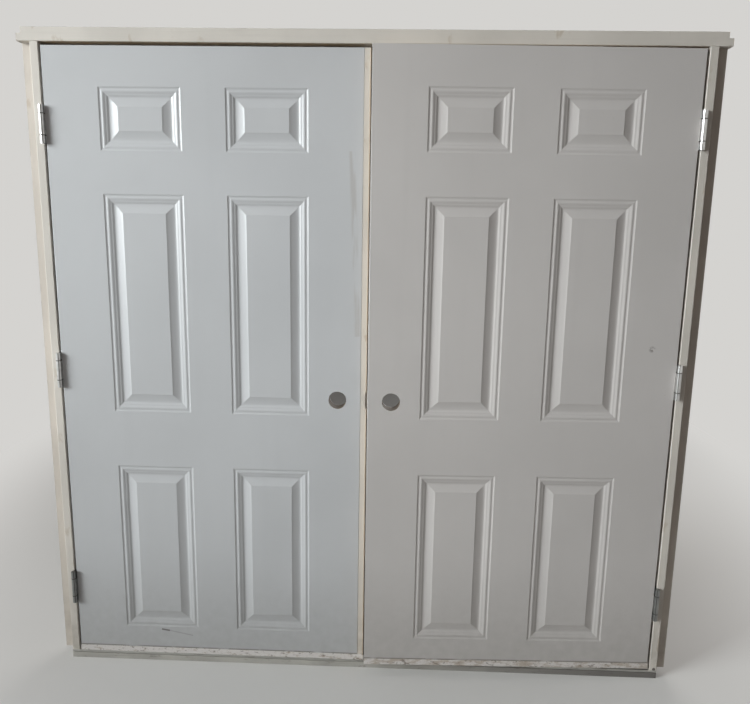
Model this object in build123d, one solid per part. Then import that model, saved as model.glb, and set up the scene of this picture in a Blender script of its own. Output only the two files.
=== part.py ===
from build123d import *
import os

# Prehung pair of six panel doors with their frame.
# X runs along the opening, Y from the hinge side to the back, Z up.
# The origin is the middle of the sill's underside.

# Leaves
leaf_width = 908.0
leaf_height = 1866.0
leaf_thickness = 44.45
sheet = 0.6
sheet_return = 13.0
stile_width = 32.0
rail_height = 32.0

# Panels pressed into each face, measured from the leaf's edges
stile_margin = 156.0
panel_width = 235.0
top_margin = 108.0
top_panel_height = 175.0
frieze_rail = 120.0
middle_panel_height = 650.0
lock_rail = 175.0
bottom_margin = 90.0

# Moulding of a panel, from its outline inwards: widths, and depths below the face
bead_step_width = 5.0
bead_step_depth = 2.2
bead_rise_width = 6.5
bead_crest_depth = 0.5
cove_width = 17.0
valley_depth = 7.0
bevel_width = 20.0
bevel_end_depth = 2.2
field_step_width = 6.0

# Lock preparation
bore_radius = 27.0
bore_backset = 70.0
bore_from_top = 1002.0
latch_bore_radius = 12.7
latch_plate_height = 57.0
latch_plate_width = 25.4
latch_plate_depth = 3.0
lock_block_width = 110.0
lock_block_height = 260.0

# Strip on the meeting edge of the left leaf
astragal_width = 18.0
meeting_gap = 4.0
astragal_seal_width = 9.0
astragal_seal_thickness = 1.8
astragal_seal_bed = 2.0
astragal_seal_bevel = 1.2
strike_height = 52.0
strike_cut = 4.5
strike_depth = 34.0
arris = 1.5

# Cap on the bottom of each leaf
cap_height = 16.0
cap_wall = 2.0
cap_floor = 2.0
cap_bevel = 1.4
fin_thickness = 1.2
fin_drop = 1.5
fin_count = 3

# Gaps round the leaves
hinge_gap = 6.0
head_gap = 10.0
foot_gap = 4.0
left_leaf_drop = 5.0
right_leaf_ajar = 1.8

# Frame
frame_depth = 116.0
jamb_edge = 24.0
head_edge = 21.5
stop_projection = 12.7
rabbet_depth = 50.0
kerf_width = 3.0
kerf_depth = 10.0
kerf_inset = 2.0
nailing_strip_width = 30.0
head_strip_height = 16.0
head_strip_inset = 13.0
nailing_strip_depth = 38.0
strip_setback = 20.0
head_horn = 6.0
weatherstrip_width = 10.5
weatherstrip_round = 2.2
fin_clearance = 0.3
seal_clearance = 0.6
seal_above_cap = 1.0

# Sill
sill_base_height = 20.0
threshold_plate = 7.0
sill_groove_height = 1.8
sill_groove_depth = 3.0
ridge_height = 14.0
ridge_top_width = 18.0
ridge_back_height = 5.0
ridge_front_slope = 2.0
bumper_height = 8.0
bumper_above_plate = 3.0
bumper_bevel = 1.2
ridge_behind_stop = 1.0

# Hinges
hinge_height = 106.0
hinge_from_top = 160.0
hinge_from_foot = 172.0
plate_thickness = 2.4
plate_gain = 1.4
plate_depth = 30.0
plate_corner = 5.0
knuckle_radius = 7.0
pin_radius = 3.1
pin_clearance = 0.05
end_knuckle_share = 0.22
knuckle_gap = 0.4
barrel_stand_off = 1.6
axis_from_jamb = 0.2
gain_clearance = 0.2

# How far a cut runs past what it cuts
overcut = 1.0

# Worked out from the values above
sill_height = sill_base_height + threshold_plate
opening_height = foot_gap + leaf_height + head_gap
centre_gap = astragal_width + meeting_gap
opening_width = 2 * (hinge_gap + leaf_width) + centre_gap
front = -frame_depth / 2
back = frame_depth / 2
jamb_face = opening_width / 2
jamb_outer = jamb_face + jamb_edge
strip_outer = jamb_outer + nailing_strip_width
head_bottom = sill_height + opening_height
head_top = head_bottom + head_edge
head_half = strip_outer + head_horn
stop_face = front + rabbet_depth
leaf_back = front + leaf_thickness
left_leaf_foot = sill_height + foot_gap
right_leaf_foot = left_leaf_foot + left_leaf_drop
panel_rows = top_margin + top_panel_height + frieze_rail + middle_panel_height + lock_rail
bottom_panel_height = leaf_height - panel_rows - bottom_margin
mullion = leaf_width - 2 * stile_margin - 2 * panel_width
bore_height = leaf_height - bore_from_top
axis_from_leaf = hinge_gap - axis_from_jamb
axis_before_face = knuckle_radius + barrel_stand_off
knuckle_bore = pin_radius + pin_clearance
end_knuckle = hinge_height * end_knuckle_share


def box(x0, x1, y0, y1, z0, z1):
    """A block between two corners."""
    size = (x1 - x0, y1 - y0, z1 - z0)
    middle = ((x0 + x1) / 2, (y0 + y1) / 2, (z0 + z1) / 2)
    return Pos(*middle) * Box(*size)


def rod(start, direction, length, radius):
    """A round bar from a point along a direction."""
    return extrude(Plane(start, z_dir=direction) * Circle(radius), length)


def moulding_section():
    """Half section of a panel's pressed groove: X inwards, Y into the leaf."""
    crest = bead_step_width + bead_rise_width
    valley = crest + cove_width
    bevel = valley + bevel_width
    outline = Polyline(
        (0, 0),
        (bead_step_width, bead_step_depth),
        (crest, bead_crest_depth),
        (valley, valley_depth),
        (bevel, bevel_end_depth),
        (bevel + field_step_width, 0),
        close=True,
    )
    return make_face(outline)


def panel_boxes():
    """Each panel's left, bottom, width and height on the leaf."""
    rows = []
    top = leaf_height - top_margin
    for height, rail in (
        (top_panel_height, frieze_rail),
        (middle_panel_height, lock_rail),
        (bottom_panel_height, 0),
    ):
        rows.append((top - height, height))
        top -= height + rail
    columns = (stile_margin, stile_margin + panel_width + mullion)
    return [(x, z, panel_width, height) for z, height in rows for x in columns]


def panel_groove(x, z, width, height):
    """The groove of one panel, mitred at its corners."""
    section = moulding_section()
    start = Plane((x, 0, z + height / 2), x_dir=(1, 0, 0), z_dir=(0, 0, -1))
    corners = [(x, z + height / 2), (x, z), (x + width, z)]
    corners += [(x + width, z + height), (x, z + height), (x, z + height / 2)]
    path = Polyline(*[(px, 0, pz) for px, pz in corners])
    profile = start * mirror(section, Plane.XZ)
    return sweep(profile, path=path, transition=Transition.RIGHT)


def embossed_block(depth):
    """A block of the leaf's outline with the six grooves in its front face."""
    block = box(0, leaf_width, 0, depth, 0, leaf_height)
    grooves = [panel_groove(*panel) for panel in panel_boxes()]
    return block - grooves


def pressed_sheet(block):
    """The front skin: a pressed sheet with its two long edges turned back."""
    sheet_only = block - Pos(0, sheet, 0) * block
    hinge_return = box(0, sheet, 0, sheet_return, 0, leaf_height)
    free_return = box(leaf_width - sheet, leaf_width, 0, sheet_return, 0, leaf_height)
    return sheet_only + hinge_return + free_return


def flip_to_rear(shape):
    """Mirror a front piece to the back face of the leaf."""
    return Pos(0, leaf_thickness, 0) * mirror(shape, Plane.XZ)


def knob_bore():
    """The round hole through the leaf for the lock."""
    start = (leaf_width - bore_backset, -leaf_thickness, bore_height)
    return rod(start, (0, 1, 0), 3 * leaf_thickness, bore_radius)


def latch_bore():
    """The hole from the free edge to the lock bore, with its plate recess."""
    reach = bore_backset
    start = (leaf_width - reach, leaf_thickness / 2, bore_height)
    hole = rod(start, (1, 0, 0), reach, latch_bore_radius)
    half_height = latch_plate_height / 2
    half_width = latch_plate_width / 2
    middle = leaf_thickness / 2
    recess = box(
        leaf_width - latch_plate_depth,
        leaf_width,
        middle - half_width,
        middle + half_width,
        bore_height - half_height,
        bore_height + half_height,
    )
    return hole + recess


def hinge_middles(leaf_foot):
    """Height of each hinge's middle, from the top one down."""
    top = leaf_foot + leaf_height - hinge_from_top - hinge_height / 2
    bottom = leaf_foot + hinge_from_foot + hinge_height / 2
    return [top, (top + bottom) / 2, bottom]


def plate_outline(growth=0.0):
    """Side view of a hinge plate behind the face, with its back corners cut off."""
    half = hinge_height / 2 + growth
    depth = plate_depth + growth
    shape = Pos(depth / 2, 0) * Rectangle(depth, 2 * half)
    rear = shape.vertices().group_by(Axis.X)[-1]
    return chamfer(rear, plate_corner)


def hinge_gain(growth=gain_clearance):
    """The recess for a hinge plate, cut into a face at X 0 towards -X."""
    plane = Plane((0, 0, 0), x_dir=(0, 1, 0), z_dir=(-1, 0, 0))
    return extrude(plane * plate_outline(growth), plate_gain)


def knuckle(axis_distance, bottom, height):
    """One knuckle of the barrel, with its bore, at a distance before the plate's face."""
    ring = Circle(knuckle_radius) - Circle(knuckle_bore)
    at = Pos(axis_distance, -axis_before_face, bottom)
    return at * extrude(ring, height)


def knuckle_spans():
    """Bottom and height of the lower, middle and upper knuckle."""
    half = hinge_height / 2
    middle = hinge_height - 2 * end_knuckle
    return (
        (-half, end_knuckle - knuckle_gap),
        (end_knuckle - half, middle),
        (half - end_knuckle + knuckle_gap, end_knuckle - knuckle_gap),
    )


def hinge_plate(spans, axis_distance, neck_reach):
    """A hinge plate on a face at X 0, with the knuckles that belong to it."""
    plane = Plane((-plate_gain, 0, 0), x_dir=(0, 1, 0), z_dir=(1, 0, 0))
    plate = extrude(plane * plate_outline(), plate_thickness)
    for bottom, height in spans:
        top = bottom + height
        neck = box(-plate_gain, plate_thickness - plate_gain, -neck_reach, 0, bottom, top)
        plate = plate + neck + knuckle(axis_distance, bottom, height)
    return plate


def jamb_plate():
    """The plate on the jamb, which meets the back of the two outer knuckles."""
    ring_middle = (knuckle_radius + knuckle_bore) / 2
    return hinge_plate(knuckle_spans()[::2], axis_from_jamb, axis_before_face - ring_middle)


def leaf_plate():
    """The plate on the leaf, which meets the side of the middle knuckle."""
    return hinge_plate(knuckle_spans()[1:2], axis_from_leaf, axis_before_face)


def hinge_pin():
    """The fixed pin, flush with both ends of the barrel."""
    at = Pos(axis_from_jamb, -axis_before_face, -hinge_height / 2)
    return at * extrude(Circle(pin_radius), hinge_height)


def to_left_jamb(shape, height):
    """Place a piece made on a face at X 0 on the left jamb."""
    return Pos(-jamb_face, front, height) * shape


def mirror_x(shape):
    """Mirror a piece of the left half to the right half."""
    return mirror(shape, Plane.YZ)


def to_side(side, shape):
    """Leave a left piece as it is, or mirror it for the right side."""
    if side == "right":
        shape = mirror_x(shape)
    return shape


def to_leaf_edge(shape, height):
    """Turn a piece made on a face at X 0 to the leaf's hinge edge."""
    return Pos(0, 0, height) * mirror(shape, Plane.YZ)


def leaf_pieces(side):
    """Every piece of a leaf, with its hinge edge at X 0 and its foot at Z 0."""
    inner = leaf_thickness - sheet
    block = embossed_block(leaf_thickness / 2)
    solid_front = Pos(0, sheet, 0) * block
    middle = box(0, leaf_width, sheet, inner, 0, leaf_height)
    inside = middle & (solid_front + flip_to_rear(solid_front))
    bores = [knob_bore()]
    if side == "right":
        bores.append(latch_bore())

    gains = []
    plates = []
    for height in hinge_middles(0):
        gains.append(to_leaf_edge(hinge_gain(), height))
        plates.append(to_leaf_edge(leaf_plate(), height))

    front_skin = pressed_sheet(block)
    rear_skin = flip_to_rear(front_skin)
    free_edge = leaf_width - sheet
    stile_box = box(sheet, stile_width, sheet, inner, 0, leaf_height)
    lock_stile_box = box(leaf_width - stile_width, free_edge, sheet, inner, 0, leaf_height)
    top_box = box(
        stile_width, leaf_width - stile_width, sheet, inner, leaf_height - rail_height, leaf_height
    )
    bottom_box = box(stile_width, leaf_width - stile_width, sheet, inner, 0, rail_height)
    block_right = leaf_width - stile_width
    block_box = box(
        block_right - lock_block_width,
        block_right,
        sheet,
        inner,
        bore_height - lock_block_height / 2,
        bore_height + lock_block_height / 2,
    )
    core_box = box(
        stile_width, block_right, sheet, inner, rail_height, leaf_height - rail_height
    )
    edge_strip = box(0, sheet, sheet_return, leaf_thickness - sheet_return, 0, leaf_height)
    free_strip = Pos(free_edge, 0, 0) * edge_strip
    stile = stile_box + edge_strip
    lock_stile = lock_stile_box + free_strip

    pieces = {
        "front_skin": front_skin - bores - gains,
        "rear_skin": rear_skin - bores - gains,
        "hinge_stile": stile - gains,
        "lock_stile": lock_stile - bores,
        "top_rail": top_box,
        "bottom_rail": bottom_box,
        "lock_block": (block_box & inside) - bores,
        "foam_core": (core_box & inside) - block_box,
        "bottom_cap": bottom_cap(side),
    }
    for name, plate in zip(("top", "middle", "bottom"), plates):
        pieces[f"{name}_hinge_plate"] = plate
    if side == "left":
        pieces["astragal"] = astragal()
        pieces["astragal_seal"] = astragal_seal()
    return pieces


def bottom_cap(side):
    """The channel that covers a leaf's bottom edge, with sealing fins under it."""
    length = leaf_width
    if side == "left":
        length += astragal_width
    outer = box(0, length, -cap_wall, leaf_thickness + cap_wall, -cap_floor, cap_height)
    top_edges = outer.edges().filter_by(Axis.X).group_by(Axis.Z)[-1]
    outer = chamfer(top_edges, cap_bevel)
    cap = outer - box(0, length, 0, leaf_thickness, 0, cap_height + overcut)
    pitch = leaf_thickness / (fin_count + 1)
    for number in range(fin_count):
        y = pitch * (number + 1)
        half = fin_thickness / 2
        cap += box(0, length, y - half, y + half, -cap_floor - fin_drop, -cap_floor)
    return cap


def strike_recess():
    """The slot for the latch bolt in the free face of the left leaf's strip."""
    right = leaf_width + astragal_width
    slot = Pos(right, bore_height) * SlotOverall(strike_height, 2 * strike_cut, rotation=90)
    return extrude(Plane.XZ * slot, -strike_depth)


def astragal():
    """The strip on the left leaf's meeting edge, with a strike recess."""
    left = leaf_width
    right = left + astragal_width
    strip = box(left, right, 0, leaf_thickness, 0, leaf_height)
    long_edges = strip.edges().filter_by(Axis.Z).group_by(Axis.X)[-1]
    strip = chamfer(long_edges, arris)
    middle = leaf_thickness / 2
    half = astragal_seal_width / 2
    bed = box(right - astragal_seal_bed, right, middle - half, middle + half, 0, leaf_height)
    return strip - strike_recess() - bed


def astragal_seal():
    """The soft strip let into the astragal's free face."""
    right = leaf_width + astragal_width
    middle = leaf_thickness / 2
    half = astragal_seal_width / 2
    base = box(right - astragal_seal_bed, right, middle - half, middle + half, 0, leaf_height)
    bulb = box(
        right, right + astragal_seal_thickness, middle - half, middle + half, 0, leaf_height
    )
    outer = bulb.edges().filter_by(Axis.Z).group_by(Axis.X)[-1]
    bulb = chamfer(outer, astragal_seal_bevel)
    return base + bulb - strike_recess()


def place_left(shape):
    """Stand a leaf piece on the left side."""
    return Pos(hinge_gap - jamb_face, front, left_leaf_foot) * shape


def place_right(shape):
    """Stand a leaf piece on the right side, a little ajar."""
    stood = Pos(jamb_face - hinge_gap, front, right_leaf_foot) * mirror_x(shape)
    pivot_x = jamb_face - axis_from_jamb
    pivot_y = front - axis_before_face
    turn = Pos(pivot_x, pivot_y, 0) * Rot(0, 0, right_leaf_ajar) * Pos(-pivot_x, -pivot_y, 0)
    return turn * stood


def rabbeted_section(edge):
    """Section of a jamb: X from its outer face to the opening, Y to the back."""
    outline = Polyline(
        (-edge, 0),
        (0, 0),
        (0, rabbet_depth),
        (stop_projection, rabbet_depth),
        (stop_projection, frame_depth),
        (-edge, frame_depth),
        close=True,
    )
    face = make_face(outline)
    eased = [
        vertex
        for vertex in face.vertices()
        if vertex.Y < arris or vertex.X > stop_projection / 2
    ]
    face = chamfer(eased, arris)
    slot = Pos(kerf_inset + kerf_width / 2, rabbet_depth + kerf_depth / 2)
    return face - slot * Rectangle(kerf_width, kerf_depth)


def head_stop_notch():
    """Room for the head's stop at the top of what stands under the head."""
    return box(
        -strip_outer - overcut,
        stop_projection - jamb_face + overcut,
        stop_face,
        back + overcut,
        head_bottom - stop_projection,
        head_bottom + overcut,
    )


def side_jamb():
    """The left jamb, notched at its top for the head's stop."""
    height = head_bottom - sill_height
    at = Pos(-jamb_face, front, sill_height)
    return at * extrude(rabbeted_section(jamb_edge), height) - head_stop_notch()


def head_jamb():
    """The head, which runs over both jambs and past them."""
    section = rabbeted_section(head_edge)
    plane = Plane((-head_half, front, head_bottom), x_dir=(0, 0, -1), z_dir=(1, 0, 0))
    head = extrude(plane * section, 2 * head_half)
    return head


def weatherstrip_section():
    """Section of the strip: a fin in the kerf and a soft pad on the stop."""
    pad_depth = rabbet_depth - leaf_thickness - seal_clearance
    inner = fin_clearance + weatherstrip_width
    pad = box_2d(fin_clearance, inner, rabbet_depth - pad_depth, rabbet_depth)
    free = pad.vertices().group_by(Axis.Y)[0]
    pad = fillet(free, weatherstrip_round)
    fin_left = kerf_inset + fin_clearance
    fin_right = kerf_inset + kerf_width - fin_clearance
    fin_end = rabbet_depth + kerf_depth - fin_clearance
    return pad + box_2d(fin_left, fin_right, rabbet_depth, fin_end)


def box_2d(x0, x1, y0, y1):
    """A rectangle between two corners."""
    return Pos((x0 + x1) / 2, (y0 + y1) / 2) * Rectangle(x1 - x0, y1 - y0)


def side_weatherstrip():
    """The seal down the left jamb."""
    bottom = right_leaf_foot + cap_height + seal_above_cap
    height = head_bottom - stop_projection - bottom
    at = Pos(-jamb_face, front, bottom)
    return at * extrude(weatherstrip_section(), height)


def head_weatherstrip():
    """The seal along the head, between the jambs."""
    half = jamb_face
    plane = Plane((-half, front, head_bottom), x_dir=(0, 0, -1), z_dir=(1, 0, 0))
    return extrude(plane * weatherstrip_section(), 2 * half)


def nailing_strip():
    """The strip on the left jamb's outer face, set back from its front edge."""
    y0 = front + strip_setback
    y1 = y0 + nailing_strip_depth
    return box(-strip_outer, -jamb_outer, y0, y1, sill_height, head_bottom) - head_stop_notch()


def head_nailing_strip():
    """The strip on top of the head, flush with its front and short of its ends."""
    half = head_half - head_strip_inset
    return box(
        -half, half, front, front + nailing_strip_depth, head_top, head_top + head_strip_height
    )


def sill_base():
    """The timber under the threshold, with a shadow groove along its front."""
    base = box(-jamb_outer, jamb_outer, front, back, 0, sill_base_height)
    groove = box(
        -jamb_outer - overcut,
        jamb_outer + overcut,
        front - overcut,
        front + sill_groove_depth,
        sill_base_height - sill_groove_height,
        sill_base_height + overcut,
    )
    return base - groove


def threshold():
    """The metal threshold: a plate with a raised stop behind the leaves."""
    plate = box(-jamb_outer, jamb_outer, front, back, sill_base_height, sill_height)
    nose = plate.edges().filter_by(Axis.X).group_by(Axis.Y)[0].sort_by(Axis.Z)[-1]
    plate = fillet(nose, arris)
    half = jamb_face - stop_projection - gain_clearance
    ridge_front = rabbet_depth + ridge_behind_stop
    outline = Polyline(
        (ridge_front, 0),
        (ridge_front + ridge_front_slope, ridge_height),
        (ridge_front + ridge_front_slope + ridge_top_width, ridge_height),
        (frame_depth, ridge_back_height),
        (frame_depth, 0),
        close=True,
    )
    plane = Plane((-half, front, sill_height), x_dir=(0, 1, 0), z_dir=(1, 0, 0))
    ridge = extrude(plane * make_face(outline), 2 * half)
    return plate + ridge


def threshold_seal():
    """The soft strip along the front of the threshold's stop."""
    half = jamb_face - stop_projection - gain_clearance
    y0 = leaf_back + cap_wall + seal_clearance
    z0 = sill_height + bumper_above_plate
    y1 = stop_face + ridge_behind_stop + ridge_front_slope
    pad = box(-half, half, y0, y1, z0, z0 + bumper_height)
    front_edges = pad.edges().filter_by(Axis.X).group_by(Axis.Y)[0]
    return chamfer(front_edges, bumper_bevel) - threshold()


def export(name, shape):
    """Write one node."""
    export_step(shape, f"parts/{name}.step")


def build_frame():
    """Every fixed piece, by name."""
    pieces = {
        "head_jamb": head_jamb(),
        "head_nailing_strip": head_nailing_strip(),
        "left_nailing_strip": nailing_strip(),
        "right_nailing_strip": mirror_x(nailing_strip()),
        "sill_base": sill_base(),
        "threshold": threshold(),
        "threshold_seal": threshold_seal(),
        "left_weatherstrip": side_weatherstrip(),
        "right_weatherstrip": mirror_x(side_weatherstrip()),
        "head_weatherstrip": head_weatherstrip(),
    }
    for side, foot in (("left", left_leaf_foot), ("right", right_leaf_foot)):
        jamb = side_jamb()
        for name, height in zip(("top", "middle", "bottom"), hinge_middles(foot)):
            jamb -= to_left_jamb(hinge_gain(), height)
            plate = to_left_jamb(jamb_plate(), height)
            pin = to_left_jamb(hinge_pin(), height)
            pieces[f"{side}_{name}_hinge_jamb_plate"] = to_side(side, plate)
            pieces[f"{side}_{name}_hinge_pin"] = to_side(side, pin)
        pieces[f"{side}_jamb"] = to_side(side, jamb)
    return pieces


def main():
    os.makedirs("parts", exist_ok=True)
    for name, shape in build_frame().items():
        export(name, shape)
    for side, place in (("left", place_left), ("right", place_right)):
        for name, shape in leaf_pieces(side).items():
            export(f"{side}_leaf_{name}", place(shape))


main()
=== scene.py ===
import math

import bmesh
import bpy
from bpy.props import FloatProperty, FloatVectorProperty, IntProperty, PointerProperty
from mathutils import Matrix, Vector


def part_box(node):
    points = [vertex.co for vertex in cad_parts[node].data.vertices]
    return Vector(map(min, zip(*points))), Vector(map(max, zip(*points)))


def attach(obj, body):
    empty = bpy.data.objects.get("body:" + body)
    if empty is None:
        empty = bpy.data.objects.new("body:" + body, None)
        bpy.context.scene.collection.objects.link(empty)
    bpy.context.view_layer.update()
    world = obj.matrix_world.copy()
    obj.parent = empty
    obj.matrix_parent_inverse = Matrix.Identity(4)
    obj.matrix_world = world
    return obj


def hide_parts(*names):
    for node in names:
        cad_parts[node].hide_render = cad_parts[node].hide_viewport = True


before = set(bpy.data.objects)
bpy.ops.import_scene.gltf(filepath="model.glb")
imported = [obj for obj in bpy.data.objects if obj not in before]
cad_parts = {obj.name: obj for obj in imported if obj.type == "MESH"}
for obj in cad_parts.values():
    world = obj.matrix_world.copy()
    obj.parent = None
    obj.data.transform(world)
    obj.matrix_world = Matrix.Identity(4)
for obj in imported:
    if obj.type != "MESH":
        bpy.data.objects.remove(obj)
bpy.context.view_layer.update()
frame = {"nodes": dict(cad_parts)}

bl_info = {
    "name": "Prehung pair of panel doors",
    "version": (1, 0, 0),
    "blender": (4, 5, 0),
    "location": "View3D > Sidebar > Doors",
    "description": "Dresses a pair of six panel doors, their frame, hinges and sill",
    "category": "Object",
}

nodes = frame["nodes"]

# The leaves and where the CAD puts them, in metres
LEAF_WIDTH = 0.908
LEAF_HEIGHT = 1.866
LEAF_THICKNESS = 0.04445
LEFT_EDGE_X = -0.919
FACE_Y = -0.058
FOOT_Z = {side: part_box(f"{side}_leaf_front_skin")[0].z for side in ("left", "right")}
AJAR = math.radians(1.8)
CAP_HEIGHT = 0.016

# Lock bore of a leaf, and how far round it the timber is darkened as painted shade
BORE_X = LEAF_WIDTH - 0.070
BORE_HEIGHT = 0.864
BORE_RADIUS = 0.027
BORE_STEPS = 64
BORE_SHADE_RADII = (0.06, 0.5, 0.06)

# Panels on a leaf: columns from the hinge edge, rows from the foot
PANEL_COLUMNS = ((0.156, 0.391), (0.517, 0.752))
PANEL_ROWS = ((0.090, 0.638), (0.813, 1.463), (1.583, 1.758))
PANELS = [(x0, x1, z0, z1) for z0, z1 in PANEL_ROWS for x0, x1 in PANEL_COLUMNS]

# Moulding of a panel, from its outline inwards: distance, depth below the face
MOULDING = (
    (0.0, 0.0),
    (0.0050, 0.0022),
    (0.0115, 0.0005),
    (0.0190, 0.0036),
    (0.0220, 0.0036),
    (0.0285, 0.0070),
    (0.0485, 0.0022),
    (0.0545, 0.0),
)

# Pressed sheet: thickness, depth of its turned edges, and how its folds are cut and shaded
SHEET = 0.0006
SHEET_RETURN = 0.013
FOLD_STEPS = 5
FLAT_LIMIT = 0.9999
SHARP_ANGLE = math.radians(38)

# Hinges: the right leaf's axis, the heights, where dirt gathers in the knuckle joints, and where a dark
# reflection is painted down the barrel
HINGE_AXIS = Vector((0.9248, -0.0666, 0.0))
LOWEST_HINGE = FOOT_Z["left"] + 0.225
HINGE_PITCH = 0.714
HINGE_LEVELS = ("top", "middle", "bottom")
KNUCKLE_JOINT = 0.0299
BARREL_REFLECTION_X = 0.9217

# Hinge screws: each row's share of the plate's height and its step in depth
JAMB_FACE_X = 0.925
SCREW_PROUD = 0.0011
SCREW_DEPTH = 0.016
SCREW_ROWS = ((-0.34, -0.005), (0.0, 0.005), (0.34, -0.005))

# Heads of screws and nails: thickness, sides, the cross recess and the nail's taper
FASTENER_THICKNESS = 0.0006
SCREW_SIDES = 28
RECESS_WIDTH = 0.0011
RECESS_LENGTH = 0.0046
RECESS_HEIGHT = 0.0009
RECESS_LIFT = 0.0003
NAIL_SIDES = 16
NAIL_TAPER = 0.8

# Head and outer strips, with the level where the grain turns and the places of nails and screws
HEAD_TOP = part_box("head_nailing_strip")[0].z
HEAD_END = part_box("head_jamb")[1].x
STRIP_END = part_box("head_nailing_strip")[1].x
HEAD_EDGE_CUT = 0.0015
END_MARGIN = 0.0005
GRAIN_LEVEL = 1.906
GRAIN_BLEND = 0.003
HEAD_SCREW_X = 0.937
HEAD_SCREW_Y = (0.016, 0.042)
NAIL_ABOVE_FOOT = 0.14
NAIL_BELOW_TOP = 0.08

# Back slope of the threshold, as Y and Z of its upper and lower edge, and its ribs
SLOPE_TOP = (0.013, 0.041)
SLOPE_FOOT = (0.058, 0.032)
RIB_MARGIN = 0.7
RIB_LENGTH = 1.80
RIB_SIDES = 12

# Marks of handling on the leaves, as X and Z from the hinge edge and the foot
SCRATCH = ((0.270, 0.081), (0.296, 0.077), (0.372, 0.062))
RUBBED_LINE = ((0.876, 1.59), (0.897, 1.06))
SMUDGE = (0.077, 1.036)
SMUDGE_RADII = (0.013, 0.03, 0.013)

# Dark spot at the foot of the right jamb
JAMB_SPOT = (0.940, FACE_Y, 0.031)
JAMB_SPOT_RADII = (0.008, 0.02, 0.009)

# Painted light: share of the common leaf grey that each face has in red, green and blue, a bluer tint on
# the left front and a warmer one on the right front standing in for the light on them
LEAF_LIGHT_TINTS = {
    "left front": (0.985, 1.0, 1.02),
    "right front": (1.045, 1.0, 0.972),
    "left rear": (1.0, 1.0, 1.0),
    "right rear": (1.015, 1.0, 0.99),
}

# Colours of dirt and wear on the leaves, and of the painted shade at their feet
LEAF_FOOT_DIRT_AND_SHADE = (0.20, 0.185, 0.165)
FOOT_SEAM_DIRT_AND_SHADE = (0.12, 0.10, 0.08)
LEAF_SPECK = (0.20, 0.18, 0.155)
RUBBED_PRIMER = (0.33, 0.29, 0.25)
LEAF_MARK = (0.11, 0.095, 0.085)
CAP_WORN_PALE = (0.61, 0.575, 0.55)
CAP_DIRT = (0.15, 0.12, 0.095)
CAP_STAIN = (0.36, 0.27, 0.22)

# Colours of timber, bare and dirty, and of painted shade in the lock bores and at the sill's right end
SCUFFED_TIMBER = (0.40, 0.315, 0.225)
JAMB_FOOT_DIRT = (0.22, 0.19, 0.15)
JAMB_SPOT_COLOUR = (0.06, 0.05, 0.042)
END_GRAIN_DARK = (0.47, 0.37, 0.26)
END_GRAIN_LIGHT = (0.56, 0.46, 0.34)
PINE_EARLY = (0.60, 0.46, 0.30)
PINE_LATE = (0.46, 0.315, 0.18)
PINE_FIGURE = (0.38, 0.25, 0.14)
PINE_DIRT = (0.24, 0.19, 0.14)
PINE_BORE_SHADE = (0.055, 0.038, 0.026)
SILL_STAIN = (0.12, 0.105, 0.09)
SILL_RIGHT_SHADE = (0.075, 0.066, 0.062)

# Colours of metal, seals and foam; the two zinc darks are painted shade on the lower hinges and, with
# dirt, a painted reflection down the barrel
ZINC_LOW_SHADE = (0.094, 0.100, 0.096)
ZINC_GRIME_AND_REFLECTION = (0.045, 0.042, 0.040)
METAL_DARK = (0.38, 0.375, 0.35)
METAL_LIGHT = (0.48, 0.47, 0.44)
GREY_DUST = (0.16, 0.145, 0.12)
SEAL_DARK = (0.032, 0.030, 0.028)
SEAL_LIGHT = (0.055, 0.052, 0.048)
FOAM_DARK = (0.60, 0.52, 0.34)
FOAM_LIGHT = (0.74, 0.67, 0.47)
FOAM_AGED = (0.52, 0.40, 0.22)
PRIMER_IOR = 1.46

# Floor, where it fades into the backdrop, and the light that comes from all round
BACKDROP = (0.66, 0.65, 0.63)
FLOOR_REACH = 40.0
FADE_CENTRE = (0.0, 1.9, 0.0)
FADE_SQUEEZE = (2.0, 1.0, 1.0)
FADE_START = 2.0
FADE_END = 4.6
SURROUND_COLOUR = (1.0, 0.93, 0.89)
SURROUND_STRENGTH = 0.09

# Lamps: name, place, aim, size, spread in degrees, power, colour
LAMPS = (
    ("key lamp", (-4.4, -2.3, 2.5), (-0.3, 0.0, 1.4), 2.7, 50, 48.0, (0.915, 0.97, 0.99)),
    ("fill lamp", (-0.9, -4.4, 3.6), (-0.3, 0.0, 1.0), 2.4, 180, 9.0, (1.0, 0.84, 0.76)),
    ("rear lamp", (0.6, 2.5, 1.5), (0.0, 0.0, 1.05), 2.0, 180, 38.0, (1.0, 0.98, 0.95)),
)

# Camera: place, turns in radians, focal length and picture width in pixels
CAMERA_PLACE = (0.0986, -2.1014, 1.4377)
YAW, PITCH, ROLL = -0.0333, 0.1893, 0.0162
FOCAL_PIXELS = 700.0
PICTURE_WIDTH = 750.0
SENSOR_WIDTH = 36.0


def left_place():
    """From a leaf's own frame, hinge edge at X 0 and foot at Z 0, to the left leaf's place."""
    return Matrix.Translation((LEFT_EDGE_X, FACE_Y, FOOT_Z["left"]))


def right_place():
    """The same for the right leaf, which is mirrored and stands a little ajar."""
    mirror = Matrix.Diagonal((-1.0, 1.0, 1.0, 1.0))
    stand = Matrix.Translation((-LEFT_EDGE_X, FACE_Y, FOOT_Z["right"])) @ mirror
    turn = Matrix.Rotation(AJAR, 4, "Z")
    return Matrix.Translation(HINGE_AXIS) @ turn @ Matrix.Translation(-HINGE_AXIS) @ stand


PLACES = {"left": left_place(), "right": right_place()}


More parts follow.
